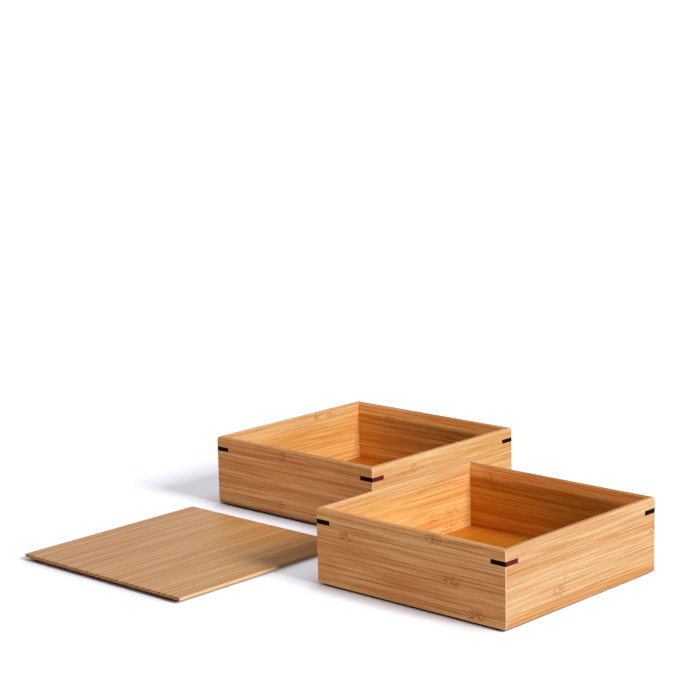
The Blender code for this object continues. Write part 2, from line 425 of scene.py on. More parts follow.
def set_out(pattern, name, node, body, axis, quarter_turns=0):
    """One finished piece, copied from its pattern to its place."""
    piece = turned_copy(pattern, name, quarter_turns)
    piece.location = axis
    bpy.ops.object.transform_apply(location=True, rotation=True, scale=True)
    bpy.ops.object.shade_smooth_by_angle(angle=SMOOTH_ANGLE)
    flats = piece.modifiers.new("flat_faces", "WEIGHTED_NORMAL")
    flats.keep_sharp = True
    apply_modifier(piece, flats)
    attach(piece, body)
    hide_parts(node)
    return piece


walls = {}
keys = {}
boards = {}
for tray in TRAYS:
    axis = axis_of(f"{tray}_bottom_board")
    body = f"{tray}_tray"
    for turn, side in enumerate(SIDES):
        node = f"{tray}_wall_{side}"
        name = f"{tray}_tray_{side}_wall"
        walls[tray, side] = set_out(front_wall, name, node, body, axis, turn)
    for turn, corner in enumerate(CORNERS):
        node = f"{tray}_key_{corner}"
        name = f"{tray}_tray_{corner}_key"
        keys[tray, corner] = set_out(key, name, node, body, axis, turn)
    node = f"{tray}_bottom_board"
    boards[tray] = set_out(bottom, f"{tray}_tray_floor", node, body, axis)
lid_axis = axis_of("lid_top_board")
lid_pieces = [
    set_out(lid_top, "lid_upper_board", "lid_top_board", "lid", lid_axis),
    set_out(lid_locator, "lid_under_board", "lid_locating_board", "lid", lid_axis),
]
for pattern in (front_wall, key, bottom, lid_top, lid_locator):
    bpy.data.objects.remove(pattern)
print("pieces set out:", len(walls) + len(keys) + len(boards) + len(lid_pieces))

# %% [markdown]
# ## Building materials in code
#
# A material is a small network, and most of it is arithmetic on a position. Small helpers keep it
# readable: they add a node, join or set a socket, and stand for a sum, a blend or a noise. Effects
# that several finishes share become node groups with named sockets, so that each finish reads as a
# short list of what it is made of.

# %% Helpers for shader nodes
PER_METRE = 1000.0
# The colour sockets of a Mix node share their names with others, so they are picked by number.
MIX_FACTOR, MIX_FIRST, MIX_SECOND, MIX_RESULT = 0, 6, 7, 2


def connect(tree, value, socket):
    """Feed a socket from another socket, or set it to a number or a vector."""
    if isinstance(value, bpy.types.NodeSocket):
        tree.links.new(value, socket)
    else:
        socket.default_value = value


def add_node(tree, kind, inputs=None, **settings):
    """A node with its settings, and its inputs by name or number."""
    node = tree.nodes.new(kind)
    for name, value in settings.items():
        setattr(node, name, value)
    for name, value in (inputs or {}).items():
        connect(tree, value, node.inputs[name])
    return node


def maths(tree, operation, *values):
    """The result of a Math node."""
    node = add_node(tree, "ShaderNodeMath", dict(enumerate(values)), operation=operation)
    return node.outputs[0]


def vector_maths(tree, operation, first, second):
    """The vector that a Vector Math node makes of two others."""
    node = add_node(tree, "ShaderNodeVectorMath", {0: first, 1: second}, operation=operation)
    return node.outputs["Vector"]


def in_millimetres(tree, place):
    """A place in metres, given in millimetres."""
    inputs = {0: place, "Scale": PER_METRE}
    return add_node(tree, "ShaderNodeVectorMath", inputs, operation="SCALE").outputs["Vector"]


def ease(tree, value, start, end):
    """A smooth step from 0 at start to 1 at end."""
    inputs = {"Value": value, "From Min": start, "From Max": end}
    node = add_node(tree, "ShaderNodeMapRange", inputs, interpolation_type="SMOOTHSTEP")
    return node.outputs["Result"]


def blend_colours(tree, factor, first, second, mode="MIX"):
    """A blend of two colours, as far as a factor says."""
    inputs = {MIX_FACTOR: factor, MIX_FIRST: first, MIX_SECOND: second}
    node = add_node(tree, "ShaderNodeMix", inputs, data_type="RGBA", blend_type=mode)
    return node.outputs[MIX_RESULT]


def grained_noise(tree, place, stretch, detail, roughness=0.5):
    """Noise on a place in millimetres, stretched along the grain."""
    scaled = vector_maths(tree, "MULTIPLY", place, stretch)
    inputs = {"Vector": scaled, "Scale": 1.0, "Detail": detail, "Roughness": roughness}
    return add_node(tree, "ShaderNodeTexNoise", inputs).outputs["Fac"]


print("a colour blend reads sockets", MIX_FIRST, "and", MIX_SECOND)

# %% [markdown]
# ## Groups and empty materials
#
# A node group is a pattern with a few sockets, like a jig: it is made once and set up anew for each
# board. Copying its nodes into every material would work too, but each later change would have to be
# made a dozen times. All the groups here give plain numbers, which say how much of an effect a point
# gets, and leave the choice of colours to the material.

# %% Make and use a node group
FLOAT = "NodeSocketFloat"
VECTOR = "NodeSocketVector"
ORIGIN = Vector((0.0, 0.0, 0.0))
UP = Vector((0.0, 0.0, 1.0))
EAST = Vector((1.0, 0.0, 0.0))
NORTH = Vector((0.0, 1.0, 0.0))


def new_group(name, inputs, outputs):
    """An empty node group, the sockets it reads from, and the ones it feeds."""
    group = bpy.data.node_groups.new(name, "ShaderNodeTree")
    for label, kind, value in inputs:
        socket = group.interface.new_socket(label, in_out="INPUT", socket_type=kind)
        socket.default_value = value
    for label in outputs:
        group.interface.new_socket(label, in_out="OUTPUT", socket_type=FLOAT)
    start = group.nodes.new("NodeGroupInput").outputs
    end = group.nodes.new("NodeGroupOutput").inputs
    return group, start, end


def use_group(tree, group, inputs):
    """A node group placed in a material with its own values, and its outputs."""
    node = tree.nodes.new("ShaderNodeGroup")
    node.node_tree = group
    for name, value in inputs.items():
        connect(tree, value, node.inputs[name])
    return node.outputs


def new_material(name):
    """A material, its tree and its Principled shader."""
    material = bpy.data.materials.new(name)
    material.use_nodes = True
    tree = material.node_tree
    return material, tree, tree.nodes["Principled BSDF"]


def dress(piece, material):
    """Give a piece one material."""
    piece.data.materials.clear()
    piece.data.materials.append(material)


print("node groups so far:", len(bpy.data.node_groups))

# %% [markdown]
# ## Laminated strips
#
# The boards are glued up from bamboo strips about as wide as a pencil. Each strip has a tone of its
# own, and it runs a little darker towards the skin of the cane. Long fibres run through it, seen as
# soft streaks, and the fibre bundles show as thin reddish lines. The joints between strips are fine
# dark lines that come and go.
#
# A picture of bamboo could be wrapped round the pieces, but it would stretch at the ends and repeat.
# The group below works it out at any point of the solid instead. It expects a place whose X runs
# along the grain, whose Y runs across the strips and whose Z goes through the board, so one group
# serves every board, and the pattern on a rim agrees with the face beside it.

# %% Node group: bamboo strips
WANDER = (0.007, 0.05, 0.05)
FIBRE_STRAY = 2.6
JOINT_STRAY = 0.9
BOARD_STEP = 613.0
SEED_STEP = 37.0
FIRST_JOINT = 0.37
SKIN_SHADE = 1.6
SHADE_START = 0.18
GLUE_START = 0.43
JOINT_PATCHES = (0.018, 0.3, 0.3)
PATCH_EDGE = (0.40, 0.58)
# A kind of fibre is a noise: its waves to a millimetre along, across and through the board, its
# detail and roughness, and the values at which it starts to show and is full.
FIBRE_KINDS = {
    "Streak": ((0.007, 0.46, 0.46), 1.0, 0.6, 0.38, 0.62),
    "Fibre": ((0.022, 1.15, 1.15), 4.0, 0.75, 0.38, 0.62),
    "Bundle": ((0.013, 0.80, 0.80), 1.0, 0.6, 0.58, 0.66),
}


def make_strips_group():
    """Tone, streaks, fibre lines and glue lines of a laminated board."""
    group, start, end = new_group(
        "bamboo_strips",
        [("Place", VECTOR, ORIGIN), ("Strip Width", FLOAT, 5.9), ("Shift", FLOAT, 0.0)],
        ["Tone", "Streak", "Fibre", "Bundle", "Joint Shade", "Glue Line"],
    )
    shift = start["Shift"]
    step = add_node(group, "ShaderNodeCombineXYZ", {"X": maths(group, "MULTIPLY", shift, BOARD_STEP)})
    place = vector_maths(group, "ADD", in_millimetres(group, start["Place"]), step.outputs[0])
    along, across, through = add_node(group, "ShaderNodeSeparateXYZ", {"Vector": place}).outputs
    wander = grained_noise(group, place, WANDER, 1.0)

    stray = maths(group, "MULTIPLY_ADD", wander, FIBRE_STRAY, across)
    fibres = add_node(group, "ShaderNodeCombineXYZ", {"X": along, "Y": stray, "Z": through}).outputs[0]
    for kind, (stretch, detail, roughness, starts, full) in FIBRE_KINDS.items():
        noise = grained_noise(group, fibres, stretch, detail, roughness)
        connect(group, ease(group, noise, starts, full), end[kind])

    joint = maths(group, "MULTIPLY_ADD", wander, JOINT_STRAY, across)
    count = maths(group, "ADD", maths(group, "DIVIDE", joint, start["Strip Width"]), FIRST_JOINT)
    seed = maths(group, "MULTIPLY_ADD", shift, SEED_STEP, maths(group, "FLOOR", count))
    chance = add_node(group, "ShaderNodeTexWhiteNoise", {"W": seed}, noise_dimensions="1D")
    own = add_node(group, "ShaderNodeSeparateColor", {"Color": chance.outputs["Color"]}).outputs
    from_middle = maths(group, "SUBTRACT", maths(group, "FRACT", count), 0.5)
    skin = maths(group, "MULTIPLY", maths(group, "SUBTRACT", own["Green"], 0.5), from_middle)
    connect(group, maths(group, "MULTIPLY_ADD", skin, SKIN_SHADE, own["Red"]), end["Tone"])

    edge = maths(group, "ABSOLUTE", from_middle)
    comes_and_goes = ease(group, grained_noise(group, place, JOINT_PATCHES, 1.0), *PATCH_EDGE)
    for effect, starts in (("Joint Shade", SHADE_START), ("Glue Line", GLUE_START)):
        line = maths(group, "MULTIPLY", ease(group, edge, starts, 0.5), comes_and_goes)
        connect(group, line, end[effect])
    return group


strips_group = make_strips_group()
print("strip pattern nodes:", len(strips_group.nodes))

# %% [markdown]
# ## Nodes of the cane
#
# Every hand's breadth or so the cane has a node, a ring where the fibres tangle. On a planed strip it
# is left as a small mottled patch, one strip high and a centimetre long, with light and dark flecks. A
# random pattern would scatter them evenly. They are few and the eye goes to them, so each is given at
# a place on its board, and a group draws one.

# %% Node group: one node of the cane
NODE_HALF_HEIGHT = 4.0
NODE_HALF_DEPTH = 2.0
RAGGED_EDGE = (0.35, 0.9, 0.9)
RAGGEDNESS = 1.6
MASK_FADE = (0.15, 1.25)


def make_cane_node_group():
    """How much a point belongs to one mottled patch."""
    group, start, end = new_group(
        "cane_node",
        [("Place", VECTOR, ORIGIN), ("Centre", VECTOR, ORIGIN), ("Length", FLOAT, 5.0)],
        ["Mask"],
    )
    place = start["Place"]
    gap = in_millimetres(group, vector_maths(group, "SUBTRACT", place, start["Centre"]))
    parts = add_node(group, "ShaderNodeSeparateXYZ", {"Vector": gap}).outputs
    squares = []
    for part, reach in zip(parts, (start["Length"], NODE_HALF_HEIGHT, NODE_HALF_DEPTH)):
        share = maths(group, "DIVIDE", part, reach)
        squares.append(maths(group, "MULTIPLY", share, share))
    distance = maths(group, "ADD", maths(group, "ADD", squares[0], squares[1]), squares[2])
    ragged = grained_noise(group, in_millimetres(group, place), RAGGED_EDGE, 2.0)
    ragged = maths(group, "MULTIPLY_ADD", ragged, RAGGEDNESS, -RAGGEDNESS / 2)
    outside = ease(group, maths(group, "ADD", distance, ragged), *MASK_FADE)
    connect(group, maths(group, "SUBTRACT", 1.0, outside), end["Mask"])
    return group


cane_node_group = make_cane_node_group()
print("cane node pattern nodes:", len(cane_node_group.nodes))

# %% [markdown]
# ## Painted highlight on the upright arrises
#
# Where two walls meet, the upright edge catches the key light as a thin pale line, and that highlight
# is painted onto the rounding. The walls all lie square to the X and Y axes, so a normal that leans
# between those two can only be on an upright rounding. That makes a mask with no need for extra
# geometry.

# %% Node group: upright arris mask
ARRIS_START = 0.08
ARRIS_FULL = 0.36


def make_arris_group():
    """1 on a rounded upright edge and 0 on the flat faces and the rim."""
    group, start, end = new_group("upright_arris", [("Normal", VECTOR, UP)], ["Mask"])
    parts = add_node(group, "ShaderNodeSeparateXYZ", {"Vector": start["Normal"]}).outputs
    lean = maths(group, "ABSOLUTE", maths(group, "MULTIPLY", parts["X"], parts["Y"]))
    connect(group, ease(group, lean, ARRIS_START, ARRIS_FULL), end["Mask"])
    return group


arris_group = make_arris_group()
print("arris pattern nodes:", len(arris_group.nodes))

# %% [markdown]
# ## End grain
#
# Two edges of the lid cut across the fibres. There each strip shows its cut end, peppered with the
# dark ends of fibre bundles, which crowd together towards the skin of the cane. With strips laid
# side by side they read as two rows of dots, one to a strip, half a strip apart.

# %% Node group: end grain
DOTS_TO_A_STRIP = 4.8
DOTS_TO_A_MILLIMETRE = 2.0
DOT_FADE = (0.15, 1.1)
SPECK_STRETCH = (0.5, 2.2, 2.6)
SPECK_EDGE = (0.45, 0.65)


def make_end_grain_group():
    """Dark dots where fibre bundles are cut across, in two rows."""
    group, start, end = new_group(
        "end_grain",
        [
            ("Place", VECTOR, ORIGIN),
            ("Strip Width", FLOAT, 4.9),
            ("Upper Row", FLOAT, 1.5),
            ("Lower Row", FLOAT, 0.5),
        ],
        ["Dots", "Specks"],
    )
    place = in_millimetres(group, start["Place"])
    parts = add_node(group, "ShaderNodeSeparateXYZ", {"Vector": place}).outputs
    count = maths(group, "DIVIDE", parts["Y"], start["Strip Width"])
    rows = []
    for row, offset in (("Upper Row", 0.0), ("Lower Row", 0.5)):
        nearest = maths(group, "FRACT", maths(group, "ADD", count, offset))
        side = maths(group, "MULTIPLY", maths(group, "SUBTRACT", nearest, 0.5), DOTS_TO_A_STRIP)
        rise = maths(group, "SUBTRACT", parts["Z"], start[row])
        rise = maths(group, "MULTIPLY", rise, DOTS_TO_A_MILLIMETRE)
        squares = [maths(group, "MULTIPLY", part, part) for part in (side, rise)]
        reach = maths(group, "ADD", squares[0], squares[1])
        rows.append(maths(group, "SUBTRACT", 1.0, ease(group, reach, *DOT_FADE)))
    connect(group, maths(group, "MAXIMUM", rows[0], rows[1]), end["Dots"])
    specks = grained_noise(group, place, SPECK_STRETCH, 2.0, 0.6)
    connect(group, ease(group, specks, *SPECK_EDGE), end["Specks"])
    return group


end_grain_group = make_end_grain_group()
print("end grain pattern nodes:", len(end_grain_group.nodes))

# %% [markdown]
# ## Turning a pattern to its board
#
# A board lies from a starting corner, along its grain and across its strips. The patterns expect a
# place whose X runs along the grain, so the board's own coordinates are turned to match. Unwrapping
# each board onto a flat map would do it too, but the grain would break at every seam. What depends on
# the way a face looks, such as the oil inside a tray, compares the normal with a direction.

# %% Place a pattern, and tell faces apart
def board_place(tree, lie):
    """Object coordinates from a board's corner, turned along its grain."""
    start, along, across = lie
    turn = Matrix((along, across, along.cross(across)))
    coordinates = add_node(tree, "ShaderNodeTexCoord").outputs["Object"]
    inputs = {"Vector": coordinates, "Rotation": turn.to_euler(), "Location": -(turn @ start)}
    return add_node(tree, "ShaderNodeMapping", inputs).outputs["Vector"]


def facing(tree, normal, way):
    """How far a surface faces along a direction, from -1 to 1."""
    node = add_node(tree, "ShaderNodeVectorMath", {0: normal, 1: way}, operation="DOT_PRODUCT")
    return node.outputs["Value"]


def facing_either(tree, normal, way):
    """How far a surface faces along a direction or against it, from 0 to 1."""
    return maths(tree, "ABSOLUTE", facing(tree, normal, way))


def multiply_colour(tree, factor, colour, tint):
    """A colour multiplied by a dye, as far as a factor says."""
    return blend_colours(tree, factor, colour, tint, "MULTIPLY")


print("materials before the finishes:", len(bpy.data.materials))

# %% [markdown]
# ## What only some boards have
#
# The cane's nodes are mottled patches on the walls. A wall's lowest strip is browner than the rest.
# Its rim carries painted light and shade, lighter or darker from wall to wall, and inside a tray its
# inner face carries painted shade, most of all low down, with painted light on some walls. The lid
# shows the cut ends of its strips on two sides and a paler, plainer wood on the other two. Each of
# these is a function that takes the colour so far and returns it changed, so that a finish can leave
# out what its board doesn't have.

# %% Nodes of the cane, a wall's foot and painted shading, cut ends of the lid
MOTTLE = (0.34, 0.90, 0.90)
DARK_FLECKS = (0.42, 0.60)
LIGHT_FLECKS = (0.46, 0.36)
NODE_SHARE = 0.70
NODE_GROUND = 0.12
FOOT_STRIP = 8.0 * MM
FOOT_SOFTNESS = 0.6 * MM
INNER_SHADE_FULL = 36.0 * MM
INNER_SHADE_FADED = 46.0 * MM
INNER_SHADE_AT_RIM = 0.3
TURNED_IN = (-0.5, -0.9)
TURNED_UP = (0.5, 0.95)
TURNED_ASIDE = (0.6, 0.8)
SIDE_SHARE = 0.8
SPECK_SHARE = 0.55
DOT_SHARE = 0.9
END_DYE = (0.68, 0.71, 0.80, 1.0)


def draw_cane_nodes(tree, place, colour, look, cane_nodes):
    """Dark and light flecks inside the patches of the cane's nodes."""
    masks = []
    for along_mm, up_mm, through_mm, length_mm in cane_nodes:
        centre = Vector((along_mm, up_mm, through_mm)) * MM
        inputs = {"Place": place, "Centre": centre, "Length": length_mm}
        masks.append(use_group(tree, cane_node_group, inputs)["Mask"])
    mask = masks[0]
    for other in masks[1:]:
        mask = maths(tree, "MAXIMUM", mask, other)
    mottle = grained_noise(tree, in_millimetres(tree, place), MOTTLE, 3.0, 0.7)
    dark = maths(tree, "MULTIPLY_ADD", ease(tree, mottle, *DARK_FLECKS), NODE_SHARE, NODE_GROUND)
    light = maths(tree, "MULTIPLY", ease(tree, mottle, *LIGHT_FLECKS), NODE_SHARE)
    for strength, tone in ((dark, "knot"), (light, "fleck_and_highlight")):
        colour = blend_colours(tree, maths(tree, "MULTIPLY", mask, strength), colour, look[tone])
    return colour


def tint_and_shade_wall(tree, place, normal, outward, colour, look, inside):
    """The browner lowest strip of a wall, the painted shade on its inner face, and the painted light
    and shade on its rim.
    """
    height = add_node(tree, "ShaderNodeSeparateXYZ", {"Vector": place}).outputs["Y"]
    low_strip = ease(tree, height, FOOT_STRIP + FOOT_SOFTNESS, FOOT_STRIP - FOOT_SOFTNESS)
    colour = multiply_colour(tree, low_strip, colour, look["foot"])
    # Painted shade on the inner face: full below one height and fading to a little at the rim.
    turned_in = ease(tree, facing(tree, normal, outward), *TURNED_IN)
    low_down = ease(tree, height, INNER_SHADE_FADED, INNER_SHADE_FULL)
    inner_shade = maths(tree, "MULTIPLY_ADD", low_down, 1.0 - INNER_SHADE_AT_RIM, INNER_SHADE_AT_RIM)
    colour = multiply_colour(tree, maths(tree, "MULTIPLY", turned_in, inner_shade), colour, inside)
    # Painted light and shade on the rim, from the look's rim colour where the surface faces up.
    on_rim = ease(tree, facing(tree, normal, UP), *TURNED_UP)
    return multiply_colour(tree, on_rim, colour, look["rim"])


def draw_cut_ends(tree, place, normal, lie, colour, look, end_rows):
    """Plainer wood along two sides, and specks and dots on the two cut ends."""
    along, across = lie[1:]
    on_side = ease(tree, facing_either(tree, normal, across), *TURNED_ASIDE)
    colour = blend_colours(tree, maths(tree, "MULTIPLY", on_side, SIDE_SHARE), colour, look["side"])
    cut_end = ease(tree, facing_either(tree, normal, along), *TURNED_ASIDE)
    colour = multiply_colour(tree, cut_end, colour, END_DYE)
    upper, lower = end_rows
    inputs = {"Place": place, "Strip Width": look["strip"], "Upper Row": upper, "Lower Row": lower}
    end_grain = use_group(tree, end_grain_group, inputs)
    for marks, share, tone in (("Specks", SPECK_SHARE, "line"), ("Dots", DOT_SHARE, "end")):
        strength = maths(tree, "MULTIPLY", maths(tree, "MULTIPLY", end_grain[marks], share), cut_end)
        colour = blend_colours(tree, strength, colour, look[tone])
    return colour


print("strip that is browner at a wall's foot, in mm:", round(FOOT_STRIP / MM, 1))

# %% [markdown]
# ## The bamboo finish
#
# A finish puts the groups together for one board. It blends a pale and a deep tone by strip, streak
# and fibre, draws the reddish fibre bundles and glue lines over them, and then whatever else the board
# has, and last the painted highlight on the upright arris. The satin of the lacquer is a plain
# roughness with a little fibre in it, and a fine bump lets a low light catch the fibres.
# One material for all boards would repeat its pattern round a corner. Each board gets its own, from
# the same groups with another shift, as no two boards come from one cane.

# %% A material for one board
ARRIS_HIGHLIGHT_SHARE = 0.6
FIBRE_ROUGHNESS = 0.06
ARRIS_ROUGHNESS = 0.08
FIBRE_BUMP = {"Strength": 0.35, "Distance": 0.02 * MM}


def bamboo_finish(name, lie, look, shift, cane_nodes=(), inside=None, end_rows=None):
    """The lacquered bamboo of one board."""
    material, tree, shader = new_material(name)
    place = board_place(tree, lie)
    normal = add_node(tree, "ShaderNodeNewGeometry").outputs["Normal"]
    inputs = {"Place": place, "Strip Width": look["strip"], "Shift": shift}
    strips = use_group(tree, strips_group, inputs)
    shade = maths(tree, "MULTIPLY", strips["Tone"], look["tone"])
    for effect, share in (("Streak", "streak"), ("Fibre", "fibre"), ("Joint Shade", "joint")):
        shade = maths(tree, "MULTIPLY_ADD", strips[effect], look[share], shade)
    colour = blend_colours(tree, shade, look["pale"], look["deep"])
    for effect, share in (("Bundle", "bundles"), ("Glue Line", "glue")):
        strength = maths(tree, "MULTIPLY", strips[effect], look[share])
        colour = blend_colours(tree, strength, colour, look["line"])

    if cane_nodes:
        colour = draw_cane_nodes(tree, place, colour, look, cane_nodes)
    # The inner shading is painted shade, and painted light where it is above 1.
    if inside:
        outward = lie[1].cross(lie[2])
        colour = tint_and_shade_wall(tree, place, normal, outward, colour, look, inside)
    if end_rows:
        colour = draw_cut_ends(tree, place, normal, lie, colour, look, end_rows)
    # Painted highlight: the upright arris is lightened towards the fleck colour, where the key light
    # catches the rounding.
    arris = use_group(tree, arris_group, {"Normal": normal})["Mask"]
    colour = blend_colours(tree, maths(tree, "MULTIPLY", arris, ARRIS_HIGHLIGHT_SHARE), colour, look["fleck_and_highlight"])
    connect(tree, colour, shader.inputs["Base Color"])

    rough = maths(tree, "MULTIPLY_ADD", strips["Fibre"], FIBRE_ROUGHNESS, look["roughness"])
    rough = maths(tree, "MULTIPLY_ADD", arris, ARRIS_ROUGHNESS, rough)
    connect(tree, rough, shader.inputs["Roughness"])
    height = maths(tree, "SUBTRACT", strips["Fibre"], strips["Glue Line"])
    bump = add_node(tree, "ShaderNodeBump", dict(FIBRE_BUMP, Height=height))
    connect(tree, bump.outputs["Normal"], shader.inputs["Normal"])
    shader.inputs["Specular IOR Level"].default_value = look["specular"]
    return material


print("groups that a finish can use:", len(bpy.data.node_groups))

# %% [markdown]
# ## Looks of the same cane
#
# The walls are the palest. Those on the left are redder and deeper in their tones and lighter on the
# rim, painted shade and painted light for the side that the key light misses. The upper front wall is
# lighter, painted light, and the upper left wall darker, painted shade. Those on the right are more
# strongly lined and darker on the rim, where the darker rim is painted shade. Those at the back have a
# paler rim, painted light. The floors are deeper, painted shade inside a tray, and the upper floor
# deeper still. The lid has narrower strips and clearer joints. A look is a short list of colours and
# shares, and each starts as a copy of the wall's with what differs. Apart from the painted light and
# shade, the colours are those of the lacquered board in a plain white light.

# %% Colours and shares of each kind of board
WALL_STRIP = 5.9
LID_STRIP = 4.9
WALL_LOOK = {
    "strip": WALL_STRIP,
    "pale": (0.88, 0.62, 0.345, 1.0),
    "deep": (0.63, 0.285, 0.093, 1.0),
    "line": (0.56, 0.20, 0.04, 1.0),
    "knot": (0.58, 0.23, 0.055, 1.0),
    # This colour serves both the light flecks of the cane's nodes and the painted highlight on the
    # upright arris.
    "fleck_and_highlight": (0.95, 0.72, 0.46, 1.0),
    "end": (0.10, 0.035, 0.012, 1.0),
    "foot": (0.92, 0.80, 0.66, 1.0),
    # The rim colour is painted light and shade on the up-facing rim.
    "rim": (0.88, 0.83, 0.78, 1.0),
    "tone": 0.26,
    "streak": 0.34,
    "fibre": 0.44,
    "joint": 0.0,
    "bundles": 0.50,
    "glue": 0.40,
    "roughness": 0.45,
    "specular": 0.012,
}
# Painted shade and light for the left walls: deeper, redder tones and a lighter rim where the low fill
# grazes it.
LEFT_LOOK = dict(
    WALL_LOOK,
    pale=(0.95, 0.65, 0.34, 1.0),
    deep=(0.58, 0.24, 0.068, 1.0),
    line=(0.42, 0.135, 0.03, 1.0),
    knot=(0.40, 0.14, 0.035, 1.0),
    foot=(0.92, 0.90, 0.88, 1.0),
    rim=(1.14, 1.10, 1.02, 1.0),
    bundles=0.60,
    specular=0.05,
)
# The right walls' darker rim is painted shade; their stronger lines are the wood's own.
RIGHT_LOOK = dict(WALL_LOOK, rim=(0.86, 0.76, 0.66, 1.0), streak=0.42, fibre=0.50, bundles=0.80)
# The back walls' paler rim is painted light.
BACK_LOOK = dict(WALL_LOOK, rim=(1.10, 1.10, 1.12, 1.0))
WALL_LOOKS = {
    ("lower", "right"): RIGHT_LOOK,
    ("upper", "right"): RIGHT_LOOK,
    ("lower", "back"): BACK_LOOK,
    ("upper", "back"): BACK_LOOK,
    # The upper front wall's lighter tones are painted light.
    ("upper", "front"): dict(WALL_LOOK, pale=(0.95, 0.66, 0.33, 1.0), deep=(0.70, 0.32, 0.090, 1.0)),
    ("lower", "left"): LEFT_LOOK,
    # The upper left wall's darker tones are painted shade.
    ("upper", "left"): dict(LEFT_LOOK, pale=(0.83, 0.55, 0.29, 1.0), deep=(0.51, 0.20, 0.055, 1.0)),
}
# The floors' deeper colour is painted shade inside a tray.
FLOOR_LOOK = dict(
    WALL_LOOK,
    pale=(0.72, 0.27, 0.018, 1.0),
    deep=(0.53, 0.15, 0.006, 1.0),
    roughness=0.30,
    specular=0.15,
)
FLOOR_LOOKS = {
    "lower": FLOOR_LOOK,
    # The upper floor's still deeper colour is painted shade.
    "upper": dict(FLOOR_LOOK, pale=(0.60, 0.195, 0.008, 1.0), deep=(0.44, 0.11, 0.003, 1.0)),
}
LID_LOOK = dict(
    WALL_LOOK,
    strip=LID_STRIP,
    pale=(0.80, 0.495, 0.207, 1.0),
    deep=(0.58, 0.218, 0.048, 1.0),
    tone=0.42,
    streak=0.24,
    fibre=0.18,
    joint=0.50,
    glue=0.60,
    roughness=0.40,
    specular=0.30,
    side=(0.97, 0.66, 0.34, 1.0),
)
UNDER_LOOK = dict(LID_LOOK, side=(0.93, 0.45, 0.16, 1.0))
print("walls with a look of their own:", len(WALL_LOOKS))

# %% [markdown]
# ## Boards with a character of their own
#
# The nodes of the cane and the painted shading of the inner faces are what tell one wall from another,
# so they are listed wall by wall. A wall that is missing from the list of inner shadings has the plain
# one.

# %% Nodes of the cane and painted inner shading, wall by wall
INSIDE = -WALL_THICKNESS / MM
# Each node of the cane: along the wall from its left end seen from outside, up from its foot,
# through the wall from its outer face, and half its length, all in millimetres.
CANE_NODES = {
    ("lower", "front"): [(57, 19.2, 0, 1.8), (50, 11.5, 0, 8), (146, 28.6, 0, 3)],
    ("lower", "left"): [(24, 34, 0, 7), (95, 45.5, 0, 8), (109, 22, 0, 8), (127, 5, 0, 9)],
    ("lower", "back"): [(22, 20, INSIDE, 13), (26, 8.5, INSIDE, 12), (42, 18, INSIDE, 8)],
    ("lower", "right"): [(130, 41.5, INSIDE, 6)],
    ("upper", "front"): [(42, 40, 0, 5)],
    ("upper", "left"): [(65, 43.5, 0, 5.5), (63, 8.5, 0, 5)],
    ("upper", "back"): [(36, 45, INSIDE, 8), (50, 45.5, INSIDE, 4)],
    ("upper", "right"): [(114, 40, INSIDE, 6)],
}
# Painted shading of each wall's inner face: below 1 it is painted shade, above 1 painted light.
PLAIN_INNER_SHADING = (1.00, 0.80, 0.40, 1.0)
INNER_SHADINGS = {
    ("lower", "right"): (1.02, 0.84, 0.28, 1.0),
    ("lower", "back"): (1.12, 1.07, 0.74, 1.0),
    ("upper", "right"): (1.26, 1.28, 0.84, 1.0),
    ("upper", "back"): (1.07, 0.98, 0.64, 1.0),
}
print("cane nodes on the walls:", sum(len(nodes) for nodes in CANE_NODES.values()))

# %% [markdown]
# ## Dressing the boards
#
# A wall's pattern starts at the foot of its left end, seen from outside, and its strips lie one above
# another. The strips of a floor and of the lid lie flat, side by side. The numbers given to the walls,
# floors and lid boards are their shifts, and keep their patterns apart.

# %% Give each board its finish
WEST = Vector((-1.0, 0.0, 0.0))
SOUTH = Vector((0.0, -1.0, 0.0))
ALONG = {"front": EAST, "right": NORTH, "back": WEST, "left": SOUTH}
FLOOR_SHIFT = 21.0
LID_SHIFT = 31.0
# The two rows of dots on a cut end, in millimetres above the foot of the lid's upper board.
LID_DOT_ROWS = (1.75, 0.65)


def wall_lie(tray, side):
    """A wall's corner at the foot of its left end, its grain, and the way across its strips."""
    along = ALONG[side]
    outward = along.cross(UP)
    corner = axis_of(f"{tray}_bottom_board") + (outward - along) * HALF_TRAY + UP * WALL_FOOT
    return corner, along, UP


for number, ((tray, side), wall) in enumerate(walls.items()):
    name = f"{tray}_{side}_bamboo"
    look = WALL_LOOKS.get((tray, side), WALL_LOOK)
    # The inner shading is painted light and shade on the wall's inner face.
    tint = INNER_SHADINGS.get((tray, side), PLAIN_INNER_SHADING)
    nodes = CANE_NODES[tray, side]
    dress(wall, bamboo_finish(name, wall_lie(tray, side), look, number + 1.0, nodes, inside=tint))
for number, tray in enumerate(TRAYS):
    lie = (axis_of(f"{tray}_bottom_board"), EAST, NORTH)
    finish = bamboo_finish(f"{tray}_floor_bamboo", lie, FLOOR_LOOKS[tray], FLOOR_SHIFT + number)
    dress(boards[tray], finish)
lid_lie = (axis_of("lid_top_board") + UP * lid_low.z, EAST, NORTH)
for number, (piece, look) in enumerate(zip(lid_pieces, (LID_LOOK, UNDER_LOOK))):
    name = f"{piece.name}_bamboo"
    dress(piece, bamboo_finish(name, lid_lie, look, LID_SHIFT + number, end_rows=LID_DOT_ROWS))
print("bamboo finishes:", len([m for m in bpy.data.materials if m.name.endswith("_bamboo")]))

# %% [markdown]
# ## The dark keys
#
# The keys are a dense purplish wood, oiled with the rest. A face along its grain shows a deep red,
# and a face across its grain drinks the oil and goes nearly black. Each key is one piece, so it can
# show its red on one wall only. The keys at the left corners have their grain along the front, and
# those at the right corners along the side.

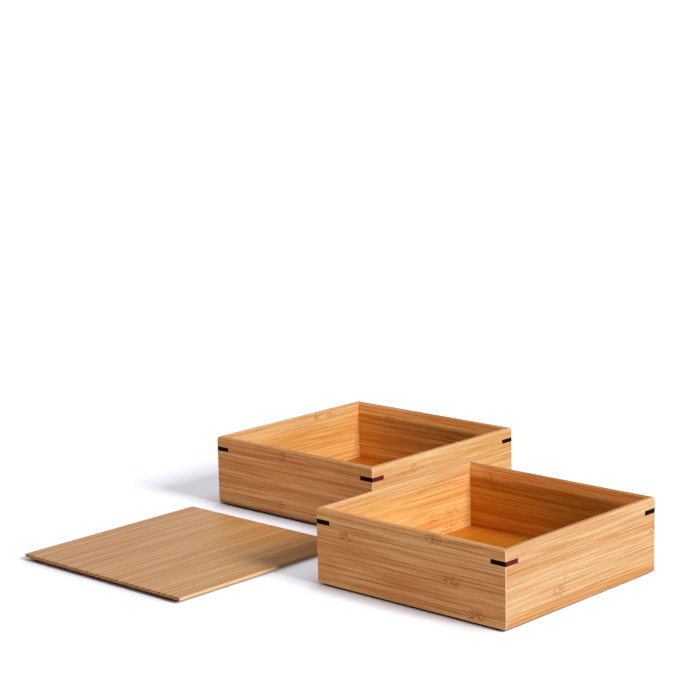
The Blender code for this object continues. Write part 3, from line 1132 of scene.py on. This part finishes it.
# %% Oiled hardwood
RED_HEART = (0.27, 0.023, 0.036, 1.0)
DARK_VEIN = (0.13, 0.009, 0.018, 1.0)
OILED_END = (0.010, 0.004, 0.006, 1.0)
PORES = (0.25, 3.0, 3.0)
VEIN_EDGE = (0.35, 0.65)
ACROSS_GRAIN = (0.55, 0.85)
KEY_ROUGHNESS = 0.40
PORE_ROUGHNESS = 0.15
KEY_SPECULAR = 0.01
PORE_BUMP = {"Strength": 0.3, "Distance": 0.02 * MM}


def hardwood_finish(name, grain):
    """Dark wood, red along its grain and nearly black across it."""
    material, tree, shader = new_material(name)
    place = board_place(tree, (ORIGIN, grain, UP.cross(grain)))
    pores = grained_noise(tree, in_millimetres(tree, place), PORES, 3.0, 0.6)
    red = blend_colours(tree, ease(tree, pores, *VEIN_EDGE), RED_HEART, DARK_VEIN)
    normal = add_node(tree, "ShaderNodeNewGeometry").outputs["Normal"]
    cut_end = ease(tree, facing_either(tree, normal, grain), *ACROSS_GRAIN)
    connect(tree, blend_colours(tree, cut_end, red, OILED_END), shader.inputs["Base Color"])
    rough = maths(tree, "MULTIPLY_ADD", pores, PORE_ROUGHNESS, KEY_ROUGHNESS)
    connect(tree, rough, shader.inputs["Roughness"])
    shader.inputs["Specular IOR Level"].default_value = KEY_SPECULAR
    bump = add_node(tree, "ShaderNodeBump", dict(PORE_BUMP, Height=pores))
    connect(tree, bump.outputs["Normal"], shader.inputs["Normal"])
    return material


hardwoods = {
    "left": hardwood_finish("hardwood_along_front", EAST),
    "right": hardwood_finish("hardwood_along_side", NORTH),
}
for (tray, corner), piece in keys.items():
    dress(piece, hardwoods[corner.split("_")[1]])
print("keys dressed:", len(keys))

# %% [markdown]
# ## The table
#
# The photograph has no horizon: table and background are one clean white, and only the shadows draw
# the table. More light would bleach the box as well. The table is a pale plane instead, and rays
# that come straight from the camera, or by way of a mirror or glass, see a glow added to it. That
# lifts the open table to white and keeps the shadows. The glow grows with distance, where the key
# light falls off. Rays that carry light see a darker table, because one as pale as it looks would
# throw so much light back that the shaded walls would turn flat.
#
# Two Ambient Occlusion nodes look for pieces that stand close by. Both lean to the right and the
# front, so they paint shade on the table beside a left wall and leave it bright in front of a lit one.
# The long one fades the glow over three centimetres, and the short one paints a dark shade into the
# slit under a wall's foot. A leaning node looks under the table as well, where nothing stands, so only
# the upper half of its range counts.

# %% A pale table that keeps its shadows
TABLE_REACH = 60.0
TABLE_COLOUR = (0.85, 0.91, 1.0, 1.0)
TABLE_BOUNCE = (0.46, 0.48, 0.52, 1.0)
TABLE_GLOW = (0.49, 0.50, 0.55, 1.0)
CORNER_REACH = 28.0 * MM
OCCLUSION_SAMPLES = 8
NODE_LEAN = (0.85, -0.50, 0.15)
CORNER_CURVE = 0.28
SLIT_REACH = 3.5 * MM
SLIT_EDGE = (0.50, 0.66)
SLIT_SHADE = (0.05, 0.02, 0.015, 1.0)
FAR_GLOW = 1.4
GLOW_GROWS = (0.15, 1.6)


def seen_straight(tree):
    """1 for camera, mirror and glass rays, and 0 for the rays that carry light."""
    rays = add_node(tree, "ShaderNodeLightPath").outputs
    straight = maths(tree, "MAXIMUM", rays["Is Camera Ray"], rays["Is Glossy Ray"])
    return maths(tree, "MAXIMUM", straight, rays["Is Transmission Ray"])


bpy.ops.object.select_all(action="DESELECT")
bpy.ops.mesh.primitive_plane_add(size=TABLE_REACH)
table = bpy.context.object
table.name = "table"
paint, tree, shader = new_material("white_table")
tree.nodes.remove(shader)
lean = add_node(tree, "ShaderNodeCombineXYZ", dict(zip("XYZ", NODE_LEAN))).outputs[0]
near = []
for reach in (SLIT_REACH, CORNER_REACH):
    inputs = {"Distance": reach, "Normal": lean}
    look_round = add_node(tree, "ShaderNodeAmbientOcclusion", inputs, samples=OCCLUSION_SAMPLES)
    near.append(look_round.outputs["AO"])
clear, open_sky = near
straight = seen_straight(tree)
colour = blend_colours(tree, ease(tree, clear, *SLIT_EDGE), SLIT_SHADE, TABLE_COLOUR)
colour = blend_colours(tree, straight, TABLE_BOUNCE, colour)
matt = add_node(tree, "ShaderNodeBsdfDiffuse", {"Color": colour})

spot = add_node(tree, "ShaderNodeTexCoord").outputs["Object"]
away = add_node(tree, "ShaderNodeVectorMath", {0: spot}, operation="LENGTH").outputs["Value"]
brighter = maths(tree, "MULTIPLY_ADD", ease(tree, away, *GLOW_GROWS), FAR_GLOW, 1.0)
openness = maths(tree, "MAXIMUM", maths(tree, "MULTIPLY_ADD", open_sky, 2.0, -1.0), 0.0)
openness = maths(tree, "POWER", openness, CORNER_CURVE)
strength = maths(tree, "MULTIPLY", maths(tree, "MULTIPLY", straight, openness), brighter)
glow = add_node(tree, "ShaderNodeEmission", {"Color": TABLE_GLOW, "Strength": strength})
both = add_node(tree, "ShaderNodeAddShader", {0: matt.outputs[0], 1: glow.outputs[0]})
connect(tree, both.outputs[0], tree.nodes["Material Output"].inputs["Surface"])
dress(table, paint)
print("table size in m:", round(table.dimensions.x, 1))

# %% [markdown]
# ## Light
#
# The shadows say where the light stands: they fall straight back from the front faces, at about
# one and a half times the trays' height, with an edge as soft as a large window would give. So the
# key light is a panel about a metre across, four metres in front of the box and a third of the way
# up. A sun lamp with a wide disc would be as soft, but its disc is round, and the panel can be made
# taller than it is wide, as the far edges of the shadows ask.
#
# A second, low light comes from the left, almost level, and it can be a sun, as it draws no soft
# edge. It lights the left walls, grazes over their rims and draws a lighter band along the top of
# the far inner walls.

# %% Key light and low fill
KEY_BEARING = 2.5
KEY_HEIGHT = 33.0
KEY_STRENGTH = 3.08
KEY_DISTANCE = 4.0
KEY_SIZE = (0.98, 1.12)
KEY_COLOUR = (1.0, 1.0, 1.0)
FILL_BEARING = -90.0
FILL_HEIGHT = 3.1
FILL_STRENGTH = 1.02
FILL_SPREAD = math.radians(2.0)
FILL_COLOUR = (1.0, 0.70, 0.49)


def direction(bearing, height):
    """A direction by its bearing from the front, towards the right, and its height, in degrees."""
    level = math.cos(math.radians(height))
    side = level * math.sin(math.radians(bearing))
    return Vector((side, -level * math.cos(math.radians(bearing)), math.sin(math.radians(height))))


def hang_lamp(lamp, toward, distance, colour):
    """Put a lamp at a distance in a direction, and turn it to shine back."""
    lamp.color = colour
    light = bpy.data.objects.new(lamp.name, lamp)
    light.location = toward * distance
    light.rotation_mode = "QUATERNION"
    light.rotation_quaternion = toward.to_track_quat("Z", "Y")
    bpy.context.scene.collection.objects.link(light)
    return light


panel = bpy.data.lights.new("key_light", "AREA")
panel.shape = "RECTANGLE"
panel.size, panel.size_y = KEY_SIZE
panel.energy = KEY_STRENGTH * math.pi * KEY_DISTANCE**2
key_light = hang_lamp(panel, direction(KEY_BEARING, KEY_HEIGHT), KEY_DISTANCE, KEY_COLOUR)
key_light.visible_camera = False
sun = bpy.data.lights.new("low_fill", "SUN")
sun.energy = FILL_STRENGTH
sun.angle = FILL_SPREAD
hang_lamp(sun, direction(FILL_BEARING, FILL_HEIGHT), 0.0, FILL_COLOUR)
print("key light in mm from the middle:", [round(v / MM) for v in key_light.location])

# %% [markdown]
# ## The room
#
# A white room would light the box from all sides and wash out its shaded walls, and a dark one would
# show as a dark background and as dark reflections. So the room is two rooms in one: a dim warm one
# for the rays that carry light, and a white one for those that the camera sees, straight or in a
# mirror.

# %% Dim room and white background
ROOM_STRENGTH = 0.15
ROOM_COLOUR = (1.0, 0.82, 0.66, 1.0)
BACKGROUND = (1.0, 1.0, 1.0, 1.0)

world = bpy.data.worlds.new("white_room")
bpy.context.scene.world = world
world.use_nodes = True
tree = world.node_tree
tree.nodes.clear()
inputs = {"Color": ROOM_COLOUR, "Strength": ROOM_STRENGTH}
room = add_node(tree, "ShaderNodeBackground", inputs).outputs[0]
white = add_node(tree, "ShaderNodeBackground", {"Color": BACKGROUND, "Strength": 1.0}).outputs[0]
choose = add_node(tree, "ShaderNodeMixShader", {"Fac": seen_straight(tree), 1: room, 2: white})
add_node(tree, "ShaderNodeOutputWorld", {"Surface": choose.outputs[0]})
bpy.context.scene.view_settings.view_transform = "Standard"
print("nodes in the room's light:", len(tree.nodes))

# %% [markdown]
# ## The camera
#
# The camera was found by fitting straight edges of the trays and the lid. It stands at the near
# corner, about one and a third metres away, and looks down by less than 11 degrees. Its lens is
# long, so the upright edges stay nearly parallel. It leans by a little more than one degree, as the
# photograph does.

# %% Set the camera
CAMERA_PLACE = Vector((-0.95846, -0.86722, 0.38273))
HEADING = math.radians(42.923)
PITCH = math.radians(10.874)
ROLL = math.radians(-1.257)
LENS = 104.49
SENSOR = 36.0

ahead = Vector((math.cos(HEADING), math.sin(HEADING), 0.0))
level_right = ahead.cross(UP)
forward = math.cos(PITCH) * ahead - math.sin(PITCH) * UP
level_up = level_right.cross(forward)
right = math.cos(ROLL) * level_right + math.sin(ROLL) * level_up
upward = math.cos(ROLL) * level_up - math.sin(ROLL) * level_right

camera_data = bpy.data.cameras.new("camera")
camera_data.lens = LENS
camera_data.sensor_width = SENSOR
camera_data.clip_end = 2 * TABLE_REACH
camera = bpy.data.objects.new("camera", camera_data)
bpy.context.scene.collection.objects.link(camera)
turn = Matrix((right, upward, -forward)).transposed()
camera.matrix_world = Matrix.Translation(CAMERA_PLACE) @ turn.to_4x4()
bpy.context.scene.camera = camera
print("camera distance in m:", round(CAMERA_PLACE.length, 3))
